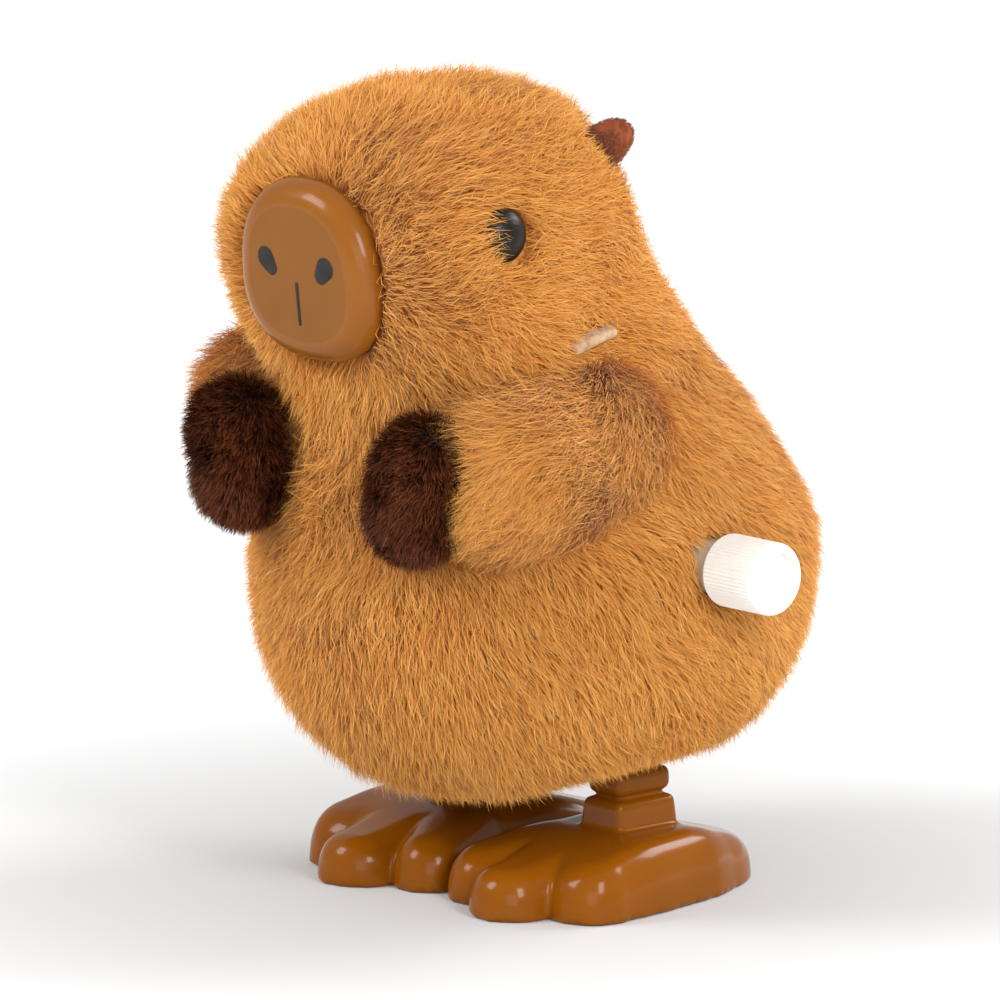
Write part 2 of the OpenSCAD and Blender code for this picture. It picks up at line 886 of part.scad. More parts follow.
module foot() {
    heel = [[11.8, 11.2], [9.6, 12.8, 5]];
    instep = [[14, 0], [11.4, 9, 8.2]];
    middle_toe = [[13.9, -14.4], [5.4, 7, 6.4]];
    inner_toe = [[4.8, -10.6], [4.6, 6.8, 5.2]];
    outer_toe = [[23, -8.6], [4.6, 6.8, 5.6]];
    color([0.64, 0.37, 0.13])
        difference() {
            union() {
                intersection() {
                    union() {
                        hull() {
                            dome(heel[0], heel[1]);
                            dome(instep[0], instep[1]);
                        }
                        for (toe = [middle_toe, inner_toe, outer_toe]) hull() {
                            dome(toe[0], toe[1]);
                            dome([(toe[0][0] + 14) / 2, -2], [6, 8, 7.8]);
                        }
                    }
                    translate([-10, -40, 0]) cube([60, 80, 20]);
                }
                hull() {
                    translate([leg_x - 4.8, leg_y - 5.8, 3.5]) cube([9.6, 11.6, 0.5]);
                    translate([leg_x - 3.1, leg_y - 4.4, 12]) cube([6.2, 8.8, 0.5]);
                }
                translate([leg_x - 2.5, leg_y - 4, 12]) cube([5, 8, 2]);
                hull()
                    for (x = [-1, 1], y = [-1, 1], z = [1, 2.2])
                        translate([
                            leg_x + x * (collar_size[0] / 2 - 1),
                            leg_y + y * (collar_size[1] / 2 - 1),
                            collar_z + z
                        ])
                            sphere(1, $fn = 16);
            }
            translate([leg_x - bar_thickness / 2 - seat, leg_y - bar_width / 2 - seat, bar_bottom])
                cube([bar_thickness + 2 * seat, bar_width + 2 * seat, 20]);
        }
}

// Compression spring behind the cross bar
module leg_return_spring() {
    wire = 0.25;
    coil = 1.9;
    coils = 6;
    steps = 12 * coils;
    sides = 6;
    start = leg_y + 2.5 + 0.1 + wire;
    finish = spring_lug_y - 0.1 - wire;
    points = [for (i = [0 : steps], k = [0 : sides - 1])
        let (turn = 360 * coils * i / steps, a = 360 * k / sides, r = coil + wire * cos(a))
        [
            return_spring_x + r * cos(turn),
            start + (finish - start) * i / steps + wire * sin(a),
            return_spring_z + r * sin(turn)
        ]
    ];
    walls = [for (i = [0 : steps - 1], k = [0 : sides - 1])
        let (a = i * sides + k, b = i * sides + (k + 1) % sides)
        each [[a, b, a + sides], [b, b + sides, a + sides]]
    ];
    caps = [[for (k = [0 : sides - 1]) sides - 1 - k], [for (k = [0 : sides - 1]) steps * sides + k]];
    color("silver")
        polyhedron(points, concat(walls, caps), convexity = 10);
}

// ---------------------------------------------------------------- nodes

plush_cover();
head_stuffing();
arm();  // left_arm
mirror([1, 0, 0]) arm();  // right_arm
paw();  // left_paw
mirror([1, 0, 0]) paw();  // right_paw
arm_seam_tapes();
ear();  // left_ear
mirror([1, 0, 0]) ear();  // right_ear
eye();  // left_eye
mirror([1, 0, 0]) eye();  // right_eye
eye_washers();
nose_plate();
nose_washer();
inner_shell_left();
inner_shell_right();
shell_screws();
base_plate();
base_screws();
movement_case_left();
movement_case_right();
case_screws();
knob_neck_bush();
winding_knob();
winding_arbor();
ratchet_wheel();
mainspring();
spring_anchor_pin();
great_wheel();
click();
click_rivet();
second_wheel();
second_arbor();
cam_wheel();
cam_arbor();
hop_cam();
star_wheel();
star_arbor();
pallet();
pallet_pin();
leg_frame();
foot();  // left_foot
mirror([1, 0, 0]) foot();  // right_foot
leg_pivot_pins();
leg_return_spring();
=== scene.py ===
"""Looks of the wind-up hopping plush capybara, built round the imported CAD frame.

Sizes are millimetres in the row frame (+Z up, muzzle towards -Y, winding knob on +X),
turned into metres where a mesh or a lamp is made.
"""
import math

import bmesh
import bpy
import numpy as np
from mathutils import Matrix, Vector, kdtree, noise
from mathutils.bvhtree import BVHTree


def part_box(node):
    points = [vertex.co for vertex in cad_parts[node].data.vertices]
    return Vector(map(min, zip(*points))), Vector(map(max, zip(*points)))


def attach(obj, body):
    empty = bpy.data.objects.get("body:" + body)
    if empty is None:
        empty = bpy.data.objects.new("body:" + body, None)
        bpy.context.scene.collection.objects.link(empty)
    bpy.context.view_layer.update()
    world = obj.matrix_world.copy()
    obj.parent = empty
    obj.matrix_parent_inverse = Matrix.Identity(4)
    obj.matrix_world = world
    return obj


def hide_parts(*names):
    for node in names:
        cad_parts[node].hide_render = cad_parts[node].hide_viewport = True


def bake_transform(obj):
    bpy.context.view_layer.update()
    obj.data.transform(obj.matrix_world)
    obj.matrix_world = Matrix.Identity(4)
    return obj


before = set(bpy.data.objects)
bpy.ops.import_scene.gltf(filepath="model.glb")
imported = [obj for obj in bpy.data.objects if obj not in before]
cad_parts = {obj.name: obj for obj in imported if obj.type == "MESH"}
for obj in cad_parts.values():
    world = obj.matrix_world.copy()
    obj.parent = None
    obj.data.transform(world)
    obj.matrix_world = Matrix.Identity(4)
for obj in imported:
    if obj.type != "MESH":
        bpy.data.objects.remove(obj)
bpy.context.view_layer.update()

MM = 0.001
SEED = 7
STRAND_MAP = "OFBake"

# ---------------------------------------------------------------- places read from the frame


def box_mm(node):
    """Lowest and highest corner of a CAD node in millimetres."""
    low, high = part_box(node)
    return np.array(low) / MM, np.array(high) / MM


def middle(node):
    """Middle of a CAD node's box in millimetres."""
    low, high = box_mm(node)
    return (low + high) / 2


plate_low, plate_high = box_mm("nose_plate")
knob_low, knob_high = box_mm("winding_knob")
tape_low = box_mm("arm_seam_tapes")[0]

NOSE_TILT = math.radians(6)
NOSE_WIDTH = plate_high[0] - plate_low[0] + 0.9
NOSE_HEIGHT = 23.1
NOSE_DEPTH = 3.3       # from the seat in the fur to the middle of the face
nose_centre = np.array([0.0, plate_low[1] + 3.9, (plate_low[2] + plate_high[2]) / 2])
knob_axis = middle("winding_knob")
knob_radius = (knob_high[2] - knob_low[2]) / 2
bush_radius = 3.4
eye_centre = middle("left_eye")
arm_centre = middle("left_arm")
paw_centre = middle("left_paw")
tape_centre = middle("arm_seam_tapes")

EAR_ROOT = np.array([13.4, -4.4, 93.2])
EAR_LENGTH = 9.6
EAR_HALF_WIDTH = 2.9
EAR_HALF_THICKNESS = 1.0

# Room that the pile leaves, in millimetres: side is measured from the toy's middle plane
LEG_SLOT_SIDE = (11.2, 17.9)
LEG_SLOT_ALONG = (-1.9, 14.2)
LEG_SLOT_TOP = 27
PILE_FLOOR = 12.2
BUSH_GAP = 0.05
KNOB_GAP = 0.25
NOSE_GAP = 0.1
EYE_RADIUS = 3.5
EYE_COVER = 0.9        # the pile in front lies over the eye up to this far before its middle
FLANK = (20, 60)       # reach along X of the bush's axis

# ---------------------------------------------------------------- small tools


def unit(v):
    """Rows of v at length 1."""
    return v / np.maximum(np.linalg.norm(v, axis=-1, keepdims=True), 1e-9)


def smooth_step(x, low, high):
    """0 below low, 1 above high, and a soft change between."""
    t = np.clip((x - low) / (high - low), 0, 1)
    return t * t * (3 - 2 * t)


def node_mesh(node):
    """Vertices in millimetres and triangles of a CAD node."""
    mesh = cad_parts[node].data
    mesh.calc_loop_triangles()
    points = np.empty(len(mesh.vertices) * 3)
    mesh.vertices.foreach_get("co", points)
    triangles = np.empty(len(mesh.loop_triangles) * 3, dtype=np.int32)
    mesh.loop_triangles.foreach_get("vertices", triangles)
    return points.reshape(-1, 3) / MM, triangles.reshape(-1, 3)


def add_object(name, mesh, material, body, replaced=()):
    """Links a mesh made in the row frame, gives it its material, hangs it on its body and hides the CAD
    parts it replaces; no body is given for a piece that bends.
    """
    piece = bpy.data.objects.new(name, mesh)
    bpy.context.scene.collection.objects.link(piece)
    mesh.materials.clear()
    mesh.materials.append(material)
    if body is not None:
        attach(piece, body)
    if replaced:
        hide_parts(*replaced)
    return piece


def mesh_from(name, points, faces):
    """A smooth-shaded mesh from points in millimetres."""
    mesh = bpy.data.meshes.new(name)
    mesh.from_pydata((np.asarray(points) * MM).tolist(), [], [list(map(int, f)) for f in faces])
    mesh.polygons.foreach_set("use_smooth", [True] * len(mesh.polygons))
    mesh.update()
    return mesh


def apply_modifiers(piece):
    """The piece's mesh with its modifiers applied."""
    evaluated = piece.evaluated_get(bpy.context.evaluated_depsgraph_get())
    mesh = bpy.data.meshes.new_from_object(evaluated)
    piece.modifiers.clear()
    piece.data = mesh
    return mesh


def remeshed(piece, voxel, rounds, material):
    """Turns the piece into one closed skin, softened and smooth shaded, and returns its mesh."""
    remesh = piece.modifiers.new("remesh", "REMESH")
    remesh.mode = "VOXEL"
    remesh.voxel_size = voxel * MM
    soften = piece.modifiers.new("soften", "SMOOTH")
    soften.factor = 0.5
    soften.iterations = rounds
    mesh = apply_modifiers(piece)
    mesh.polygons.foreach_set("use_smooth", [True] * len(mesh.polygons))
    mesh.materials.clear()
    mesh.materials.append(material)
    return mesh


# ---------------------------------------------------------------- materials


def new_material(name, roughness=0.5, coat=0.0, sheen=0.0, specular=0.5, metallic=0.0):
    """A Principled material, its node tree and its main shader node."""
    material = bpy.data.materials.new(name)
    material.use_nodes = True
    tree = material.node_tree
    shader = tree.nodes["Principled BSDF"]
    shader.inputs["Roughness"].default_value = roughness
    shader.inputs["Coat Weight"].default_value = coat
    shader.inputs["Coat Roughness"].default_value = 0.1
    shader.inputs["Sheen Weight"].default_value = sheen
    shader.inputs["Specular IOR Level"].default_value = specular
    shader.inputs["Metallic"].default_value = metallic
    return material, tree, shader


def linear(hex_colour):
    """A linear RGBA colour from an sRGB hex string."""
    channels = [int(hex_colour[i:i + 2], 16) / 255 for i in (0, 2, 4)]
    return [c / 12.92 if c <= 0.04045 else ((c + 0.055) / 1.055) ** 2.4 for c in channels] + [1]


def ramp(tree, source, stops):
    """A colour ramp over a 0 to 1 value; stops are (place, sRGB hex)."""
    node = tree.nodes.new("ShaderNodeValToRGB")
    elements = node.color_ramp.elements
    while len(elements) < len(stops):
        elements.new(0.5)
    for element, (place, colour) in zip(elements, stops):
        element.position = place
        element.color = linear(colour)
    tree.links.new(source, node.inputs["Fac"])
    return node.outputs["Color"]


def noise_value(tree, scale, detail=3.0, stretch=(1, 1, 1)):
    """Noise over the piece's own coordinates, in metres, so it sticks to the piece."""
    place = tree.nodes.new("ShaderNodeTexCoord")
    mapping = tree.nodes.new("ShaderNodeMapping")
    mapping.inputs["Scale"].default_value = stretch
    texture = tree.nodes.new("ShaderNodeTexNoise")
    texture.inputs["Scale"].default_value = scale
    texture.inputs["Detail"].default_value = detail
    tree.links.new(place.outputs["Object"], mapping.inputs["Vector"])
    tree.links.new(mapping.outputs["Vector"], texture.inputs["Vector"])
    return texture.outputs["Fac"]


def add_bump(tree, shader, height, strength, distance):
    """Bends the shader's normal by a height, over a distance in metres."""
    bump = tree.nodes.new("ShaderNodeBump")
    bump.inputs["Strength"].default_value = strength
    bump.inputs["Distance"].default_value = distance
    tree.links.new(height, bump.inputs["Height"])
    tree.links.new(bump.outputs["Normal"], shader.inputs["Normal"])


def moulded(name, dark, light, roughness, coat=0.0, scale=60, bump=0.0, metallic=0.0, specular=0.5):
    """Moulded plastic or metal: a faint mottle in its colour and, with bump, in its surface."""
    material, tree, shader = new_material(
        name, roughness=roughness, coat=coat, metallic=metallic, specular=specular)
    mottle = noise_value(tree, scale)
    tree.links.new(ramp(tree, mottle, [(0.3, dark), (0.7, light)]), shader.inputs["Base Color"])
    if bump:
        add_bump(tree, shader, noise_value(tree, scale * 12), bump, 0.0002)
    return material


def strand_material(name, dark_stops, light_stops, roughness, sheen, specular):
    """Fibre colour from the strand layout: along a strand is V, its own tone is U; along V each ramp paints
    shade at the root and light at the tip.
    """
    material, tree, shader = new_material(name, roughness=roughness, sheen=sheen, specular=specular)
    place = tree.nodes.new("ShaderNodeUVMap")
    place.uv_map = STRAND_MAP
    split = tree.nodes.new("ShaderNodeSeparateXYZ")
    tree.links.new(place.outputs["UV"], split.inputs["Vector"])
    mix = tree.nodes.new("ShaderNodeMix")
    mix.data_type = "RGBA"
    tree.links.new(split.outputs["X"], mix.inputs["Factor"])
    # Along the strand (Y) both ramps run from painted shade at the root to painted light at the tip
    tree.links.new(ramp(tree, split.outputs["Y"], dark_stops), mix.inputs["A"])
    tree.links.new(ramp(tree, split.outputs["Y"], light_stops), mix.inputs["B"])
    tree.links.new(mix.outputs["Result"], shader.inputs["Base Color"])
    return material


# In these three materials each stop list runs from root to tip: the darker roots are painted shade deep in
# the pile, the lighter tips painted light as if shining through the fibres
fur_tan = strand_material(
    "fur_tan",
    [(0.0, "9A541A"), (0.45, "B86A22"), (1.0, "CE8834")],
    [(0.0, "C47C2E"), (0.45, "DA9642"), (1.0, "F0C070")],
    roughness=0.7, sheen=0.12, specular=0.15,
)
fur_dark = strand_material(
    "fur_dark",
    [(0.0, "0A0301"), (0.6, "180803"), (1.0, "3C180A")],
    [(0.0, "220C05"), (0.6, "50240F"), (1.0, "A86038")],
    roughness=0.5, sheen=0.0, specular=0.12,
)
nap_brown = strand_material(
    "nap_brown",
    [(0.0, "662C14"), (0.6, "7C3C20"), (1.0, "8C4A2A")],
    [(0.0, "86482A"), (0.6, "A2603E"), (1.0, "BE8260")],
    roughness=0.7, sheen=0.2, specular=0.15,
)


def cloth_material(name, dark, light):
    """Knitted backing under the pile: fine rows in colour and bump."""
    material, tree, shader = new_material(name, roughness=0.9, sheen=0.3, specular=0.1)
    rows = noise_value(tree, 900, detail=2, stretch=(1, 1, 0.4))
    tree.links.new(ramp(tree, rows, [(0.35, dark), (0.65, light)]), shader.inputs["Base Color"])
    add_bump(tree, shader, rows, 0.6, 0.0003)
    return material


backing_tan = cloth_material("backing_tan", "A8642A", "C68A42")
backing_dark = cloth_material("backing_dark", "1C0A05", "34180E")
backing_felt = cloth_material("backing_felt", "6A3018", "8E4A2C")
seam_cloth = cloth_material("seam_cloth", "94724E", "C0A07C")
stuffing_white = cloth_material("stuffing_white", "DCD8D0", "F6F4F0")

nose_plastic = moulded("nose_plastic", "784A1A", "7E4E1E", 0.45, scale=150, specular=0.12)
nose_rim_plastic = moulded("nose_rim_plastic", "7E4A14", "844E16", 0.25, coat=0.12, scale=150, specular=0.12)
print_black = moulded("print_black", "211D1B", "2C2826", 0.6, scale=400, specular=0.2)
foot_plastic = moulded("foot_plastic", "7C4404", "864A06", 0.2, coat=0.14, scale=90, specular=0.08)
eye_gloss = moulded("eye_gloss", "0E0C0A", "171411", 0.38, scale=300, specular=0.2)
knob_plastic = moulded("knob_plastic", "EFEBE5", "F4F1EC", 0.36, scale=200, specular=0.35)
bush_plastic = moulded("bush_plastic", "C4B49A", "DACBB4", 0.25, coat=0.3, scale=200)
leg_plastic = moulded("leg_plastic", "5E3F2C", "7A5A46", 0.35, scale=150)
shell_plastic = moulded("shell_plastic", "B8B8B4", "CFCFCB", 0.4, scale=80, bump=0.1)
case_plastic = moulded("case_plastic", "E2DFD6", "F0EEE8", 0.35, scale=80, bump=0.1)
gear_plastic = moulded("gear_plastic", "E8E0C8", "F4EEDC", 0.35, scale=200)
cam_plastic = moulded("cam_plastic", "B89468", "CBA97E", 0.4, scale=200)
washer_plastic = moulded("washer_plastic", "E6E4E0", "F4F2EE", 0.45, scale=200)
steel = moulded("steel", "8C8E90", "B4B6B8", 0.28, scale=500, metallic=1.0)
spring_steel = moulded("spring_steel", "565A60", "7C8086", 0.3, scale=500, metallic=1.0)
brass = moulded("brass", "A8843C", "C8A45A", 0.3, scale=400, metallic=1.0)

CAD_FINISH = {
    "left_eye": eye_gloss, "right_eye": eye_gloss, "eye_washers": washer_plastic,
    "nose_washer": washer_plastic, "inner_shell_left": shell_plastic,
    "inner_shell_right": shell_plastic, "shell_screws": steel, "base_plate": shell_plastic,
    "base_screws": steel, "movement_case_left": case_plastic,
    "movement_case_right": case_plastic, "case_screws": steel, "knob_neck_bush": bush_plastic,
    "winding_knob": knob_plastic, "winding_arbor": steel, "ratchet_wheel": brass,
    "mainspring": spring_steel, "spring_anchor_pin": steel, "great_wheel": brass,
    "click": steel, "click_rivet": steel, "second_wheel": gear_plastic,
    "second_arbor": steel, "cam_wheel": gear_plastic, "cam_arbor": steel,
    "hop_cam": cam_plastic, "star_wheel": gear_plastic, "star_arbor": steel,
    "pallet": steel, "pallet_pin": steel, "leg_frame": leg_plastic,
    "leg_pivot_pins": steel, "leg_return_spring": spring_steel,
}
for node, material in CAD_FINISH.items():
    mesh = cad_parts[node].data
    mesh.materials.clear()
    mesh.materials.append(material)

# ---------------------------------------------------------------- backing cloth


def backing(name, node, material, voxel):
    """The cloth of a plush piece: the CAD solid remeshed and softened, in its own place."""
    points, triangles = node_mesh(node)
    piece = add_object(name, mesh_from(name, points, triangles), material, "root", [node])
    remeshed(piece, voxel, 3, material)
    return piece


backing("plush_body_cloth", "plush_cover", backing_tan, 1.1)
backing("plush_head_stuffing", "head_stuffing", stuffing_white, 2.0)
for side in ("left", "right"):
    backing(f"{side}_arm_cloth", f"{side}_arm", backing_tan, 0.8)
    backing(f"{side}_paw_cloth", f"{side}_paw", backing_dark, 0.6)

# The tapes are pressed into the pile, and show shorter, flatter and higher than they are sewn
TAPE_SUNK, TAPE_SHORTER, TAPE_FLATTER, TAPE_RAISED = 0.7, 0.22, 0.15, 0.8
tapes = backing("arm_seam_tape_cloth", "arm_seam_tapes", seam_cloth, 0.3)
for vertex in tapes.data.vertices:
    vertex.co.x -= math.copysign(TAPE_SUNK * MM, vertex.co.x)
    vertex.co.y += TAPE_SHORTER * (tape_low[1] * MM - vertex.co.y)
    vertex.co.z += TAPE_FLATTER * (tape_centre[2] * MM - vertex.co.z) + TAPE_RAISED * MM

# ---------------------------------------------------------------- fur

PROBE = Vector((0.571, 0.213, 0.793)).normalized()   # a direction no CAD face or edge lies along
COMB_SCATTER = 0.38
LIFT_SCATTER = (0.2, 0.28)   # radians at the root and at the tip
ROLL_SCATTER = 0.42          # radians
PATCH_SIZES = (9.0, 3.0)
SPINE_HEIGHTS, SPINE_PLACES = (24, 46, 64, 92), (0, 1, -4, -15)


def solid_of(node):
    """What depth_inside needs of a closed CAD solid: its search tree and its box."""
    points, triangles = node_mesh(node)
    return BVHTree.FromPolygons(points.tolist(), triangles.tolist()), points.min(axis=0), points.max(axis=0)


def depth_inside(solid, points):
    """How far each point lies inside a closed solid, and -1 outside it."""
    tree, low, high = solid
    depths = np.full(len(points), -1.0)
    for i in np.flatnonzero(((points > low) & (points < high)).all(axis=1)):
        start, crossings = Vector(points[i]), 0
        hit = tree.ray_cast(start, PROBE)[0]
        while hit is not None:
            crossings += 1
            hit = tree.ray_cast(hit + PROBE * 1e-4, PROBE)[0]
        if crossings % 2:
            depths[i] = tree.find_nearest(start)[3]
    return depths


def sample_surface(source, count, rng, outward_from):
    """Even random points on the outward-facing skin of a mesh, with their normals."""
    points, triangles = source
    corners = points[triangles]
    cross = np.cross(corners[:, 1] - corners[:, 0], corners[:, 2] - corners[:, 0])
    area = np.linalg.norm(cross, axis=1) / 2
    normals = unit(cross)
    centres = corners.mean(axis=1)
    outward = (unit(centres - outward_from(centres)) * normals).sum(axis=1)
    weight = area * (outward > 0.2)
    chosen = rng.choice(len(triangles), size=count, p=weight / weight.sum())
    a, b = rng.random((2, count, 1))
    flip = a + b > 1
    a, b = np.where(flip, 1 - a, a), np.where(flip, 1 - b, b)
    c = corners[chosen]
    places = c[:, 0] + a * (c[:, 1] - c[:, 0]) + b * (c[:, 2] - c[:, 0])
    return places, normals[chosen]


def body_spine(points):
    """The point of the body's middle line at each point's height."""
    height = np.clip(points[:, 2], SPINE_HEIGHTS[0], SPINE_HEIGHTS[-1])
    lean = np.interp(height, SPINE_HEIGHTS, SPINE_PLACES)
    return np.stack([np.zeros(len(points)), lean, height], axis=1)


def slow_noise(points, scale, shift):
    """Smooth noise from -1 to 1 at each point, over features of that size."""
    return np.array([noise.noise(Vector(p) / scale + Vector((shift, 0, 0))) for p in points.tolist()])


def waves(points, size, shifts):
    """A smooth random way at each point, over features of that size."""
    return np.stack([slow_noise(points, size, shift) for shift in shifts], axis=1)


def groomed(roots, normals, combing, length, lift_root, lift_tip, clump_size, clump_pull, rng):
    """Middle and tip of each strand, combed along the surface and gathered in tufts."""
    count = len(roots)
    combing = unit(combing + rng.normal(0, COMB_SCATTER, (count, 3)))
    along = unit(combing - (combing * normals).sum(axis=1, keepdims=True) * normals)
    lift_root = np.radians(lift_root) + rng.normal(0, LIFT_SCATTER[0], count)
    lift_tip = np.radians(lift_tip) + rng.normal(0, LIFT_SCATTER[1], count)
    half = (length / 2)[:, None]
    root_way = np.cos(lift_root)[:, None] * along + np.sin(lift_root)[:, None] * normals
    tip_way = np.cos(lift_tip)[:, None] * along + np.sin(lift_tip)[:, None] * normals
    middles = roots + half * root_way
    tips = middles + half * tip_way

    tufts = max(int(count / clump_size), 1)
    seeds = rng.choice(count, size=tufts, replace=False)
    tree = kdtree.KDTree(tufts)
    for i, seed in enumerate(seeds):
        tree.insert(roots[seed], i)
    tree.balance()
    tuft = np.array([tree.find(p)[1] for p in roots.tolist()])
    members = np.maximum(np.bincount(tuft, minlength=tufts), 1)[:, None]
    tuft_tip = np.stack([np.bincount(tuft, tips[:, k], tufts) for k in range(3)], axis=1) / members
    pull = clump_pull * rng.uniform(0.3, 1.0, (count, 1))
    tips = tips + pull * (tuft_tip[tuft] - tips)
    return middles, tips, tuft, roots[seeds]


def strand_mesh(name, roots, middles, tips, normals, width, shade, rng):
    """Tapering flat fibres in two segments, rolled at random about their length, as one mesh."""
    count = len(roots)
    axis = unit(tips - roots)
    flat = unit(np.cross(axis, normals))
    edge = np.cross(axis, flat)
    roll = rng.normal(0, ROLL_SCATTER, (count, 1))
    across = (np.cos(roll) * flat + np.sin(roll) * edge) * (width / 2)[:, None]
    points = np.stack(
        [roots - across, roots + across, middles - 0.9 * across, middles + 0.9 * across, tips], axis=1)

    loops = np.array([0, 1, 3, 2, 2, 3, 4])   # a quad, then the tip's triangle
    mesh = bpy.data.meshes.new(name)
    mesh.vertices.add(count * 5)
    mesh.vertices.foreach_set("co", (points * MM).astype(np.float32).ravel())
    mesh.loops.add(count * 7)
    mesh.loops.foreach_set("vertex_index", (loops[None, :] + 5 * np.arange(count)[:, None]).ravel())
    mesh.polygons.add(count * 2)
    first = (np.array([0, 4])[None, :] + 7 * np.arange(count)[:, None]).ravel()
    mesh.polygons.foreach_set("loop_start", first.astype(np.int32))
    mesh.update(calc_edges=True)
    mesh.polygons.foreach_set("use_smooth", np.ones(count * 2, dtype=bool))

    side_shift = np.array([-0.012, 0.012, -0.012, 0.012, 0.0])
    along = np.array([0.02, 0.02, 0.5, 0.5, 0.98])
    layer = mesh.uv_layers.new(name=STRAND_MAP)
    places = np.empty((count, 7, 2), dtype=np.float32)
    places[:, :, 0] = np.clip(shade[:, None], 0.02, 0.98) + side_shift[loops][None, :]
    places[:, :, 1] = along[loops][None, :]
    layer.data.foreach_set("uv", places.ravel())
    return mesh


def shades(tuft, tuft_roots, rng, spread):
    """Shade of each strand from 0 dark to 1 light: patches, tufts and single fibres."""
    patches = slow_noise(tuft_roots, PATCH_SIZES[0], 1) + 0.6 * slow_noise(tuft_roots, PATCH_SIZES[1], 6)
    own = rng.normal(0, spread, len(tuft))
    by_tuft = rng.normal(0, 0.1, len(tuft_roots)) + 0.13 * patches
    return np.clip(0.5 + by_tuft[tuft] + own, 0.02, 0.98)


def near_axis(points, centre, radius, low_x, high_x):
    """Which points lie inside a cylinder along X."""
    off = np.hypot(points[:, 1] - centre[1], points[:, 2] - centre[2])
    return (off < radius) & (points[:, 0] > low_x) & (points[:, 0] < high_x)


def plate_radius(points):
    """Distance from the nose plate's own axis, and how far out in front of its seat."""
    out = np.array([0, -math.cos(NOSE_TILT), -math.sin(NOSE_TILT)])
    rel = points - nose_centre
    front = rel @ out
    flat = rel - front[:, None] * out
    return np.linalg.norm(flat, axis=1), front


def allowed(*layers):
    """Which strands keep clear of the legs' sweep, the knob, its bush, the nose and the eyes' faces."""
    keep = np.ones(len(layers[0]), dtype=bool)
    for points in layers:
        side, along = np.abs(points[:, 0]), points[:, 1]
        leg = (side > LEG_SLOT_SIDE[0]) & (side < LEG_SLOT_SIDE[1]) \
            & (along > LEG_SLOT_ALONG[0]) & (along < LEG_SLOT_ALONG[1])
        keep &= ~(leg & (points[:, 2] < LEG_SLOT_TOP))
        keep &= ~near_axis(points, knob_axis, bush_radius + BUSH_GAP, *FLANK)
        keep &= ~near_axis(points, knob_axis, knob_radius + KNOB_GAP, knob_low[0] - KNOB_GAP, FLANK[1])
        on_eye = np.hypot(along - eye_centre[1], points[:, 2] - eye_centre[2]) < EYE_RADIUS
        keep &= ~(on_eye & (side > 15) & (along - eye_centre[1] > -EYE_COVER))
        off, front = plate_radius(points)
        keep &= ~((off < NOSE_WIDTH / 2 - NOSE_GAP) & (front > -2))
        keep &= points[:, 2] > PILE_FLOOR
    return keep


def trimmed(points):
    """Share of its full length that the pile keeps: it is short by the legs, the ears and the tapes."""
    side, along, height = np.abs(points[:, 0]), points[:, 1], points[:, 2]
    to_tape = np.hypot((along - tape_centre[1]) / 2.2, height - tape_centre[2] - 1)
    to_tape[side < 15] = 40   # the tapes lie on the flanks only
    to_leg = np.sqrt((side - 15) ** 2 + (0.8 * (along - 1)) ** 2 + (height - 16) ** 2)
    to_ear = np.linalg.norm(np.stack([side, along, height], axis=1) - EAR_ROOT, axis=1)
    return (0.42 + 0.58 * smooth_step(to_leg, 4, 15)) * (0.5 + 0.5 * smooth_step(to_ear, 4, 8)) \
        * (0.55 + 0.45 * smooth_step(to_tape, 1, 4))


def body_combing(points):
    """Way the pile lies: swept back from the muzzle on the head, down and back below it."""
    from_nose = unit(points - nose_centre - np.array([0, 3, 0]))
    side = np.sign(points[:, 0]) * smooth_step(np.abs(points[:, 0]), 4, 20)
    down = unit(np.stack([0.25 * side, 0.55 + 0 * side, -1 + 0 * side], axis=1))
    head = smooth_step(points[:, 2], 58, 76)[:, None]
    return unit(head * from_nose + (1 - head) * down + 0.7 * waves(points, 8, (3, 8, 12)))


def arm_combing(points):
    """Down over the shoulder, then forward along the sleeve to its cuff."""
    side = np.sign(points[:, 0])
    back = smooth_step(points[:, 1], arm_centre[1] - 2, arm_centre[1] + 8)
    ahead = np.stack([(0.9 * back - 0.2) * side, -1 + 0.6 * back, -0.25 - 0.5 * back], axis=1)
    core = np.stack([side * arm_centre[0], points[:, 1], np.full(len(points), arm_centre[2])], axis=1)
    return unit(ahead + 0.35 * unit(points - core) + 0.6 * waves(points, 7, (21, 25, 29)))


def paw_combing(points):
    """Out from the sleeve, forward and down."""
    core = np.where(points[:, :1] > 0, paw_centre, paw_centre * [-1, 1, 1])
    return unit(0.5 * unit(points - core) + np.array([0, -0.4, -0.5]) + 0.8 * waves(points, 4, (31, 35, 39)))


def over_cuff(points):
    """Share by which the pile is longer on the sleeve's upper front edge, where it hangs over the paw."""
    high = smooth_step(points[:, 2], arm_centre[2] - 2, arm_centre[2] + 6)
    return 0.75 * high * smooth_step(-points[:, 1], 15, 22)


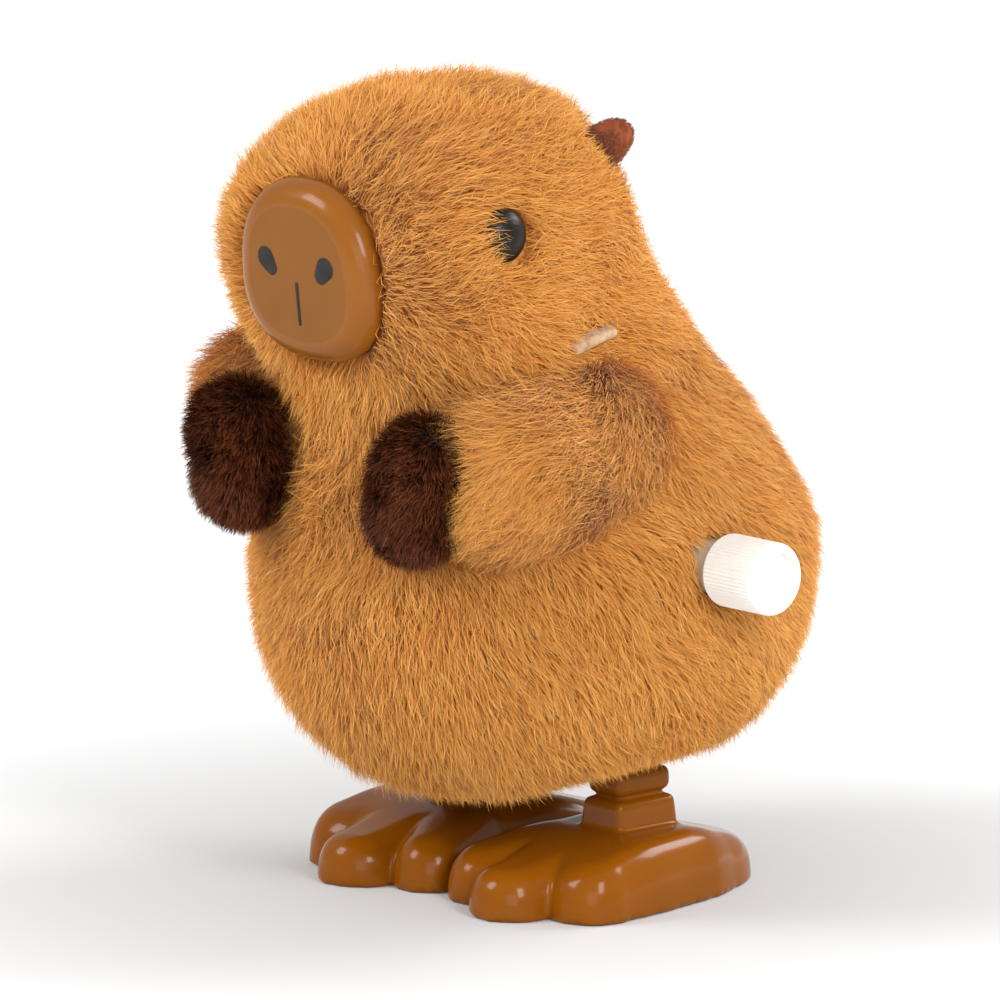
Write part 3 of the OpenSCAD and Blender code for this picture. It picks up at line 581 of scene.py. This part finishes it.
def pile(name, source, count, seed, outward_from, combing, length, lifts, tufting, width, material,
         solids=(), pieces=None, spread=0.18, full_length=False, longer=None):
    """Grows the pile of one plush piece and splits it into objects by the pieces function.

    lifts are degrees off the surface at root and tip, tufting is strands in a tuft and how far they
    gather, and solids are closed solids that no strand may enter deeper than its number.
    """
    rng = np.random.default_rng(SEED * 100 + seed)
    roots, normals = sample_surface(source, count, rng, outward_from)
    lengths = length * rng.uniform(0.6, 1.2, count) * (1 if full_length else trimmed(roots))
    if longer is not None:
        lengths = lengths * (1 + longer(roots))
    middles, tips, tuft, tuft_roots = groomed(
        roots, normals, combing(roots), lengths, lifts[0], lifts[1], tufting[0], tufting[1], rng)
    keep = allowed(roots, middles, tips)
    for solid, depth in solids:
        keep &= depth_inside(solid, roots) < 0
        keep &= depth_inside(solid, tips) < depth
    shade = shades(tuft, tuft_roots, rng, spread)
    widths = width * rng.uniform(0.7, 1.25, count)
    parts = {name: np.ones(count, dtype=bool)} if pieces is None else pieces(roots)
    for part, mask in parts.items():
        use = keep & mask
        if use.any():
            mesh = strand_mesh(
                part, roots[use], middles[use], tips[use], normals[use], widths[use], shade[use], rng)
            add_object(part, mesh, material, "root")


def body_parts(points):
    """Names of the body's fur pieces and which strands each one takes."""
    left = points[:, 0] > 0
    front = points[:, 1] < body_spine(points)[:, 1]
    bands = {"head": points[:, 2] > 68, "chest": (points[:, 2] <= 68) & (points[:, 2] > 42),
             "belly": points[:, 2] <= 42}
    return {
        f"fur_{band}_{'left' if is_left else 'right'}_{'front' if is_front else 'back'}":
            inside & (left == is_left) & (front == is_front)
        for band, inside in bands.items() for is_left in (True, False) for is_front in (True, False)
    }


def around(centre):
    """A spine function that is the same point everywhere."""
    return lambda points: np.broadcast_to(centre, points.shape)


arm_solids = [(solid_of(f"{side}_{part}"), 0.8) for side in ("left", "right") for part in ("arm", "paw")]
small_solids = [(solid_of("left_ear"), 0.2), (solid_of("right_ear"), 0.2), (solid_of("arm_seam_tapes"), 0.8)]

pile("fur_body", node_mesh("plush_cover"), 250000, 1, body_spine, body_combing, 5.0, (48, 20), (12, 0.4),
     0.12, fur_tan, solids=arm_solids + small_solids, pieces=body_parts)
for seed, (side, sign) in enumerate((("left", 1), ("right", -1)), start=2):
    mirrored = np.array([sign, 1, 1])
    paw_solid = [(solid_of(f"{side}_paw"), 1.5)]
    pile(f"fur_{side}_arm", node_mesh(f"{side}_arm"), 32000, seed,
         around(arm_centre * mirrored - [6 * sign, 0, 0]), arm_combing, 4.6, (48, 22), (12, 0.4), 0.12,
         fur_tan, solids=paw_solid + small_solids, longer=over_cuff)
    pile(f"fur_{side}_paw", node_mesh(f"{side}_paw"), 15000, seed + 10,
         around(paw_centre * mirrored + [0, 3, 0]), paw_combing, 3.6, (58, 38), (9, 0.65), 0.11,
         fur_dark, spread=0.24)

# ---------------------------------------------------------------- ears

EAR_LEAN = math.radians(50)    # from upright
EAR_SWEEP = math.radians(25)   # backward


def ear_axes():
    """Unit vectors along the left ear, out of its front face and across it."""
    along = Vector((math.sin(EAR_LEAN) * math.cos(EAR_SWEEP),
                    math.sin(EAR_LEAN) * math.sin(EAR_SWEEP), math.cos(EAR_LEAN)))
    front = Vector((0.42, -0.906, 0.0))
    front = (front - front.dot(along) * along).normalized()
    return np.array(along), np.array(front), np.array(along.cross(front))


def ear_mesh(name, sign):
    """A short leaf of felt, round-ended and cupped towards its front."""
    along, front, across = ear_axes()
    rings, sides = 22, 36
    points = []
    for i in range(rings):
        t = math.sin(math.pi / 2 * i / (rings - 1))
        swell = math.sqrt(max(1 - t ** 4.5, 0)) * (0.85 + 0.15 * math.sin(math.pi / 2 * min(1.25 * t, 1)))
        for k in range(sides):
            turn = 2 * math.pi * k / sides
            wide = EAR_HALF_WIDTH * swell * math.cos(turn)
            thick = EAR_HALF_THICKNESS * math.sqrt(max(1 - t ** 4, 0)) * math.sin(turn)
            cup = 0.14 * wide * wide - 0.01 * (EAR_LENGTH * t) ** 2
            p = EAR_ROOT - along + along * EAR_LENGTH * t + across * wide + front * (thick + cup)
            points.append(p * [sign, 1, 1])
    faces = []
    for i in range(rings - 1):
        a, b = i * sides, (i + 1) * sides
        faces += [[a + k, a + (k + 1) % sides, b + (k + 1) % sides, b + k] for k in range(sides)]
    faces.append([k for k in range(sides)][::-1])
    faces.append([(rings - 1) * sides + k for k in range(sides)])
    if sign < 0:
        faces = [face[::-1] for face in faces]
    mesh = mesh_from(name, points, faces)
    build = bmesh.new()
    build.from_mesh(mesh)
    bmesh.ops.remove_doubles(build, verts=build.verts, dist=0.02 * MM)
    bmesh.ops.recalc_face_normals(build, faces=build.faces)
    build.to_mesh(mesh)
    build.free()
    return mesh


def triangles_of(mesh):
    """Vertices in millimetres and triangles of a mesh made here."""
    mesh.calc_loop_triangles()
    return (np.array([v.co for v in mesh.vertices]) / MM,
            np.array([t.vertices for t in mesh.loop_triangles], dtype=np.int32))


for side, sign in (("left", 1), ("right", -1)):
    felt = add_object(f"{side}_ear_felt", ear_mesh(f"{side}_ear_felt", sign), backing_felt, "root",
                      [f"{side}_ear"])
    along = ear_axes()[0] * [sign, 1, 1]
    root = EAR_ROOT * [sign, 1, 1]

    def ear_spine(points):
        return root + ((points - root) @ along)[:, None] * along

    pile(f"nap_{side}_ear", triangles_of(felt.data), 9000, 21 + (sign > 0), ear_spine,
         lambda points: np.broadcast_to(along, points.shape), 0.6, (40, 30), (6, 0.3), 0.08, nap_brown,
         spread=0.24, full_length=True)

# ---------------------------------------------------------------- nose


def nose_point(x, y, out):
    """A point given across and up the plate and out from its seat, in the row frame."""
    turn = Matrix.Rotation(math.pi / 2 + NOSE_TILT, 3, "X")
    return np.array(turn @ Vector((x, y, out))) + nose_centre


NOSE_RIM = 0.255       # share of the plate's radius taken by its rounded rim
NOSE_CROWN = 0.06      # share of its depth by which the face swells in the middle
NOSE_SPOKES = 96
NOSE_FACE_RINGS = 7
NOSE_RIM_RINGS = 15


def nose_outline(angle, scale):
    """Rounded-square outline of the plate, a little wider at the bottom."""
    power = 2 / 2.35
    c, s = math.cos(angle), math.sin(angle)
    x = math.copysign(abs(c) ** power, c) * NOSE_WIDTH / 2 * scale
    y = math.copysign(abs(s) ** power, s) * NOSE_HEIGHT / 2 * scale
    return x * (1 - 0.07 * y / (NOSE_HEIGHT / 2)), y


def nose_height(share):
    """How far the plate stands out at that share of its radius: a flat face and a broad round rim."""
    t = max((share - (1 - NOSE_RIM)) / NOSE_RIM, 0)
    return NOSE_DEPTH * (1 - NOSE_CROWN + NOSE_CROWN * (1 - min(share, 1) ** 2)
                         - 0.85 * (1 - math.sqrt(max(1 - t * t, 0))))


def nose_mesh():
    """The plate as rings round its middle: the face, the rim and a back that sits in the fur."""
    flat = 1 - NOSE_RIM
    shares = [flat * (k + 1) / NOSE_FACE_RINGS for k in range(NOSE_FACE_RINGS)]
    shares += [flat + NOSE_RIM * math.sin(math.pi / 2 * (k + 1) / NOSE_RIM_RINGS)
               for k in range(NOSE_RIM_RINGS)]
    points = [nose_point(0, 0, nose_height(0))]
    for share in shares:
        for k in range(NOSE_SPOKES):
            x, y = nose_outline(2 * math.pi * k / NOSE_SPOKES, share)
            points.append(nose_point(x, y, nose_height(share)))
    for out, share in ((-0.6, 1.0), (-0.6, 0.5)):
        for k in range(NOSE_SPOKES):
            x, y = nose_outline(2 * math.pi * k / NOSE_SPOKES, share)
            points.append(nose_point(x, y, out))
    rings = len(shares) + 2
    faces = [[0, 1 + k, 1 + (k + 1) % NOSE_SPOKES] for k in range(NOSE_SPOKES)]
    for ring in range(rings - 1):
        a, b = 1 + ring * NOSE_SPOKES, 1 + (ring + 1) * NOSE_SPOKES
        faces += [[a + k, b + k, b + (k + 1) % NOSE_SPOKES, a + (k + 1) % NOSE_SPOKES]
                  for k in range(NOSE_SPOKES)]
    last = 1 + (rings - 1) * NOSE_SPOKES
    faces.append([last + k for k in range(NOSE_SPOKES)][::-1])
    return mesh_from("nose_plate_face", points, faces)


def printed_mark(name, outline):
    """A thin raised patch on the plate's face from its outline across and up the plate."""
    centre = np.mean(outline, axis=0)
    points, count = [], len(outline)
    for scale, out in ((1.0, -0.15), (1.0, 0.03), (0.94, 0.06)):   # size, height over the face
        for p in outline:
            x, y = centre + (np.array(p) - centre) * scale
            share = math.hypot(x / (NOSE_WIDTH / 2), y / (NOSE_HEIGHT / 2))
            points.append(nose_point(x, y, nose_height(share) + out))
    share = math.hypot(centre[0] / (NOSE_WIDTH / 2), centre[1] / (NOSE_HEIGHT / 2))
    points.append(nose_point(*centre, nose_height(share) + 0.06))
    faces = [[k for k in range(count)][::-1]]
    for ring in range(2):
        a, b = ring * count, (ring + 1) * count
        faces += [[a + k, a + (k + 1) % count, b + (k + 1) % count, b + k] for k in range(count)]
    faces += [[2 * count + k, 2 * count + (k + 1) % count, 3 * count] for k in range(count)]
    add_object(name, mesh_from(name, points, faces), print_black, "root")


def teardrop(big, big_radius, small, small_radius):
    """Outline round two circles, counter-clockwise; their centres are across and up the plate."""
    big, small = np.array(big), np.array(small)
    way = small - big
    heading = math.atan2(way[1], way[0])
    spread = math.acos((big_radius - small_radius) / np.linalg.norm(way))
    points = []
    for k in range(19):
        angle = heading + spread + (2 * math.pi - 2 * spread) * k / 18
        points.append(big + big_radius * np.array([math.cos(angle), math.sin(angle)]))
    for k in range(9):
        angle = heading - spread + 2 * spread * k / 8
        points.append(small + small_radius * np.array([math.cos(angle), math.sin(angle)]))
    return points


nose = add_object("nose_plate_face", nose_mesh(), nose_plastic, "root", ["nose_plate"])
nose.data.materials.append(nose_rim_plastic)
nose.data.polygons.foreach_set(
    "material_index", [int(k >= NOSE_FACE_RINGS * NOSE_SPOKES) for k in range(len(nose.data.polygons))])
for side, sign in (("left", 1), ("right", -1)):
    printed_mark(f"{side}_nostril", teardrop((5.4 * sign, 1.5), 1.45, (4.5 * sign, 0.4), 1.05))
printed_mark("mouth_line", teardrop((0, -1.2), 0.27, (0, -6.3), 0.26))

# ---------------------------------------------------------------- return spring

return_spring = add_object(
    "return_spring_wire", mesh_from("return_spring_wire", *node_mesh("leg_return_spring")),
    spring_steel, None, ["leg_return_spring"])
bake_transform(return_spring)

# ---------------------------------------------------------------- feet

FOOT_CENTRE = np.array([14.0, -1.5])
SOLE = ((14.3, -3.0), 10.5), ((11.9, 13.5), 9.8)
OUTER_TOE = ((22.3, -10.2), 5.0), ((15.5, 6.0), 9.0)
MIDDLE_TOE = ((13.9, -16.0), 5.4), ((14.0, -2.0), 7.5)
INNER_TOE = ((5.0, -12.4), 4.6), ((11.0, 0.0), 7.0)
ANKLE = np.array([14.5, 3.5])
HEEL_BLEND, TOE_CREASE = 5, 0.4
FOOT_HEIGHT, TOE_DROP, HEEL_DROP = 8.9, 2.8, 3.3
FOOT_EDGE, FOOT_ROUNDNESS = 4.4, 2.7
FOOT_VOXEL = 0.28
# Size below and above, height of both ends, edge radius
ANKLE_BLOCK = (8.0, 11.0), (6.9, 9.8), 5.5, 12.6, 0.9
ANKLE_NECK = (4.6, 7.4), (4.6, 7.4), 11, 15, 0.6
ANKLE_COLLAR = (6.2, 9.2), (6.2, 9.2), 13.0, 16.2, 1.1


def inside_capsule(x, y, ends):
    """Distance in from the outline of two circles and what lies between them."""
    ((ax, ay), ar), ((bx, by), br) = ends
    wx, wy = bx - ax, by - ay
    t = np.clip(((x - ax) * wx + (y - ay) * wy) / (wx * wx + wy * wy), 0, 1)
    return ar + (br - ar) * t - np.hypot(x - ax - t * wx, y - ay - t * wy)


def blended(a, b, width):
    """The greater of two distances, with a soft change from one to the other."""
    share = np.clip(0.5 + 0.5 * (a - b) / width, 0, 1)
    return b + (a - b) * share + width * share * (1 - share)


def inside_foot(x, y):
    """Distance in from the foot's outline, seen from above; creases part the three toes."""
    heel = blended(inside_capsule(x, y, SOLE), inside_capsule(x, y, OUTER_TOE), HEEL_BLEND)
    deep = blended(heel, inside_capsule(x, y, MIDDLE_TOE), TOE_CREASE)
    return blended(deep, inside_capsule(x, y, INNER_TOE), TOE_CREASE)


def foot_top(x, y):
    """Height of the foot's upper surface: blunt rounded edges, highest under the ankle."""
    height = FOOT_HEIGHT - TOE_DROP * smooth_step(-y, 2, 19) - HEEL_DROP * smooth_step(y, 6, 22)
    edge = np.clip(inside_foot(x, y) / FOOT_EDGE, 0, 1)
    return height * np.power(1 - (1 - edge) ** FOOT_ROUNDNESS, 1 / FOOT_ROUNDNESS)


def foot_body():
    """Closed top and bottom of one foot, as rings round its middle."""
    spokes, rings = 240, 34
    reach = np.arange(0.5, 30, 0.05)
    points = [[*FOOT_CENTRE, foot_top(*FOOT_CENTRE)]]
    shares = [math.sin(math.pi / 2 * (i + 1) / rings) for i in range(rings)]
    edges = []
    for k in range(spokes):
        turn = 2 * math.pi * k / spokes
        way = np.array([math.cos(turn), math.sin(turn)])
        deep = inside_foot(FOOT_CENTRE[0] + reach * way[0], FOOT_CENTRE[1] + reach * way[1])
        edges.append((way, reach[np.argmax(deep < 0)]))
    for share in shares:
        for way, far in edges:
            x, y = FOOT_CENTRE + way * far * share
            points.append([x, y, float(foot_top(x, y)) if share < 1 else 0.8])
    for way, far in edges:
        points.append([*(FOOT_CENTRE + way * (far - 0.5)), 0])
    points.append([*FOOT_CENTRE, 0])
    faces = [[0, 1 + k, 1 + (k + 1) % spokes] for k in range(spokes)]
    for ring in range(rings):
        a, b = 1 + ring * spokes, 1 + (ring + 1) * spokes
        faces += [[a + k, b + k, b + (k + 1) % spokes, a + (k + 1) % spokes] for k in range(spokes)]
    last, centre = 1 + rings * spokes, len(points) - 1
    faces += [[centre, last + (k + 1) % spokes, last + k] for k in range(spokes)]
    return points, faces


def rounded_block(low_size, high_size, low_z, high_z, radius):
    """A block on the ankle's axis that narrows upward, its edges rounded."""
    build = bmesh.new()
    bmesh.ops.create_cube(build, size=1)
    for vertex in build.verts:
        size = high_size if vertex.co.z > 0 else low_size
        z = high_z if vertex.co.z > 0 else low_z
        vertex.co = Vector((ANKLE[0] + vertex.co.x * size[0], ANKLE[1] + vertex.co.y * size[1], z))
    bmesh.ops.bevel(build, geom=list(build.edges), offset=radius, segments=5, profile=0.5, affect="EDGES")
    points = [list(v.co) for v in build.verts]
    faces = [[v.index for v in f.verts] for f in build.faces]
    build.free()
    return points, faces


def moulded_foot(side, sign):
    """Foot, ankle block and collar as one glossy moulding."""
    points, faces = [], []
    for more_points, more_faces in (
        foot_body(), rounded_block(*ANKLE_BLOCK), rounded_block(*ANKLE_NECK), rounded_block(*ANKLE_COLLAR),
    ):
        faces += [[len(points) + i for i in face] for face in more_faces]
        points += more_points
    points = np.array(points) * [sign, 1, 1]
    if sign < 0:
        faces = [face[::-1] for face in faces]
    name = f"{side}_foot_moulding"
    piece = add_object(name, mesh_from(name, points, faces), foot_plastic, "legs",
                       [f"{side}_foot"])
    for vertex in remeshed(piece, FOOT_VOXEL, 5, foot_plastic).vertices:
        vertex.co.z = max(vertex.co.z, 0)   # the sole stays flat on the ground


for side, sign in (("left", 1), ("right", -1)):
    moulded_foot(side, sign)

# ---------------------------------------------------------------- stage, light and camera

PHOTO_AZIMUTH = math.radians(47)
PHOTO_ELEVATION = math.radians(11.5)
CAMERA_DISTANCE = 3000
VIEW_WIDTH = 125
AIM = np.array([0, -3, 50])
AIM_SHIFT = (-1.5, -1.125)   # to the right and up in the picture
FLOOR_REACH = 4000
# The floor's glow is painted light; it rises between these distances
GLOW_FROM, GLOW_TO = 0.03, 0.2   # metres from the toy's middle
WORLD_STRENGTH = 0.62
# Name, place, target, width and height in millimetres, watts
LAMPS = (
    ("key", (-250, -420, 420), (0, 0, 50), (240, 240), 2.4),
    ("side", (520, -160, 330), (0, 0, 50), (160, 260), 2.3),
    ("rim", (160, 480, 380), (0, 0, 60), (300, 200), 2.3),
    ("fill", (430, -400, 160), (0, 0, 45), (320, 240), 0.6),
)


def glowing_floor_surface(name, colour, near_glow, far_glow):
    """Pale matt paper that glows: painted light, faint near the toy and strong away from it, so the floor is
    darker round the toy and pure white further out.
    """
    material, tree, shader = new_material(name, roughness=0.7, specular=0.1)
    grain = noise_value(tree, 4)
    tree.links.new(ramp(tree, grain, [(0.0, colour), (1.0, colour)]), shader.inputs["Base Color"])
    place = tree.nodes.new("ShaderNodeTexCoord")
    reach = tree.nodes.new("ShaderNodeVectorMath")
    reach.operation = "LENGTH"
    spread = tree.nodes.new("ShaderNodeMapRange")
    spread.interpolation_type = "SMOOTHSTEP"
    spread.inputs["From Min"].default_value = GLOW_FROM
    spread.inputs["From Max"].default_value = GLOW_TO
    spread.inputs["To Min"].default_value = near_glow
    spread.inputs["To Max"].default_value = far_glow
    tree.links.new(place.outputs["Object"], reach.inputs[0])
    tree.links.new(reach.outputs["Value"], spread.inputs["Value"])
    shader.inputs["Emission Color"].default_value = (1, 1, 1, 1)
    tree.links.new(spread.outputs["Result"], shader.inputs["Emission Strength"])
    return material


def area_lamp(name, place, target, size, power):
    """A softbox at a place, turned to its target."""
    lamp = bpy.data.lights.new(name, "AREA")
    lamp.shape = "RECTANGLE"
    lamp.size, lamp.size_y = size[0] * MM, size[1] * MM
    lamp.energy = power
    holder = bpy.data.objects.new(name, lamp)
    bpy.context.scene.collection.objects.link(holder)
    holder.location = Vector(place) * MM
    holder.rotation_euler = (Vector(target) - Vector(place)).to_track_quat("-Z", "Y").to_euler()


def build_stage():
    """Pale floor with a painted glow that grows away from the toy, even white surroundings and four
    softboxes.
    """
    corners = [[x * FLOOR_REACH, y * FLOOR_REACH, 0] for x, y in ((-1, -1), (1, -1), (1, 1), (-1, 1))]
    floor = bpy.data.objects.new("floor", mesh_from("floor", corners, [[0, 1, 2, 3]]))
    bpy.context.scene.collection.objects.link(floor)
    # Painted light: the floor glows at 0.05 near the toy, rising to 0.62 away from it
    floor.data.materials.append(glowing_floor_surface("floor_white_glow", "C6C6C6", 0.05, 0.62))

    world = bpy.data.worlds.new("studio")
    bpy.context.scene.world = world
    world.use_nodes = True
    background = world.node_tree.nodes["Background"]
    background.inputs["Color"].default_value = (1, 1, 1, 1)
    background.inputs["Strength"].default_value = WORLD_STRENGTH
    for lamp in LAMPS:
        area_lamp(*lamp)


def build_camera():
    """A long lens at the angle from which the toy was seen."""
    a, e = PHOTO_AZIMUTH, PHOTO_ELEVATION
    forward = np.array([-math.cos(e) * math.sin(a), math.cos(e) * math.cos(a), -math.sin(e)])
    right = np.array([math.cos(a), math.sin(a), 0])
    up = np.cross(right, forward)
    target = AIM + AIM_SHIFT[0] * right + AIM_SHIFT[1] * up
    camera = bpy.data.objects.new("camera", bpy.data.cameras.new("camera"))
    bpy.context.scene.collection.objects.link(camera)
    camera.data.sensor_width = 36
    camera.data.lens = 36 * CAMERA_DISTANCE / VIEW_WIDTH
    camera.data.clip_start, camera.data.clip_end = 0.05, 20
    camera.location = Vector(target - forward * CAMERA_DISTANCE) * MM
    camera.rotation_euler = Vector(forward).to_track_quat("-Z", "Y").to_euler()
    bpy.context.scene.camera = camera


build_stage()
build_camera()
scene = bpy.context.scene
scene.render.engine = "CYCLES"
scene.view_settings.view_transform = "Standard"
scene.view_settings.look = "None"
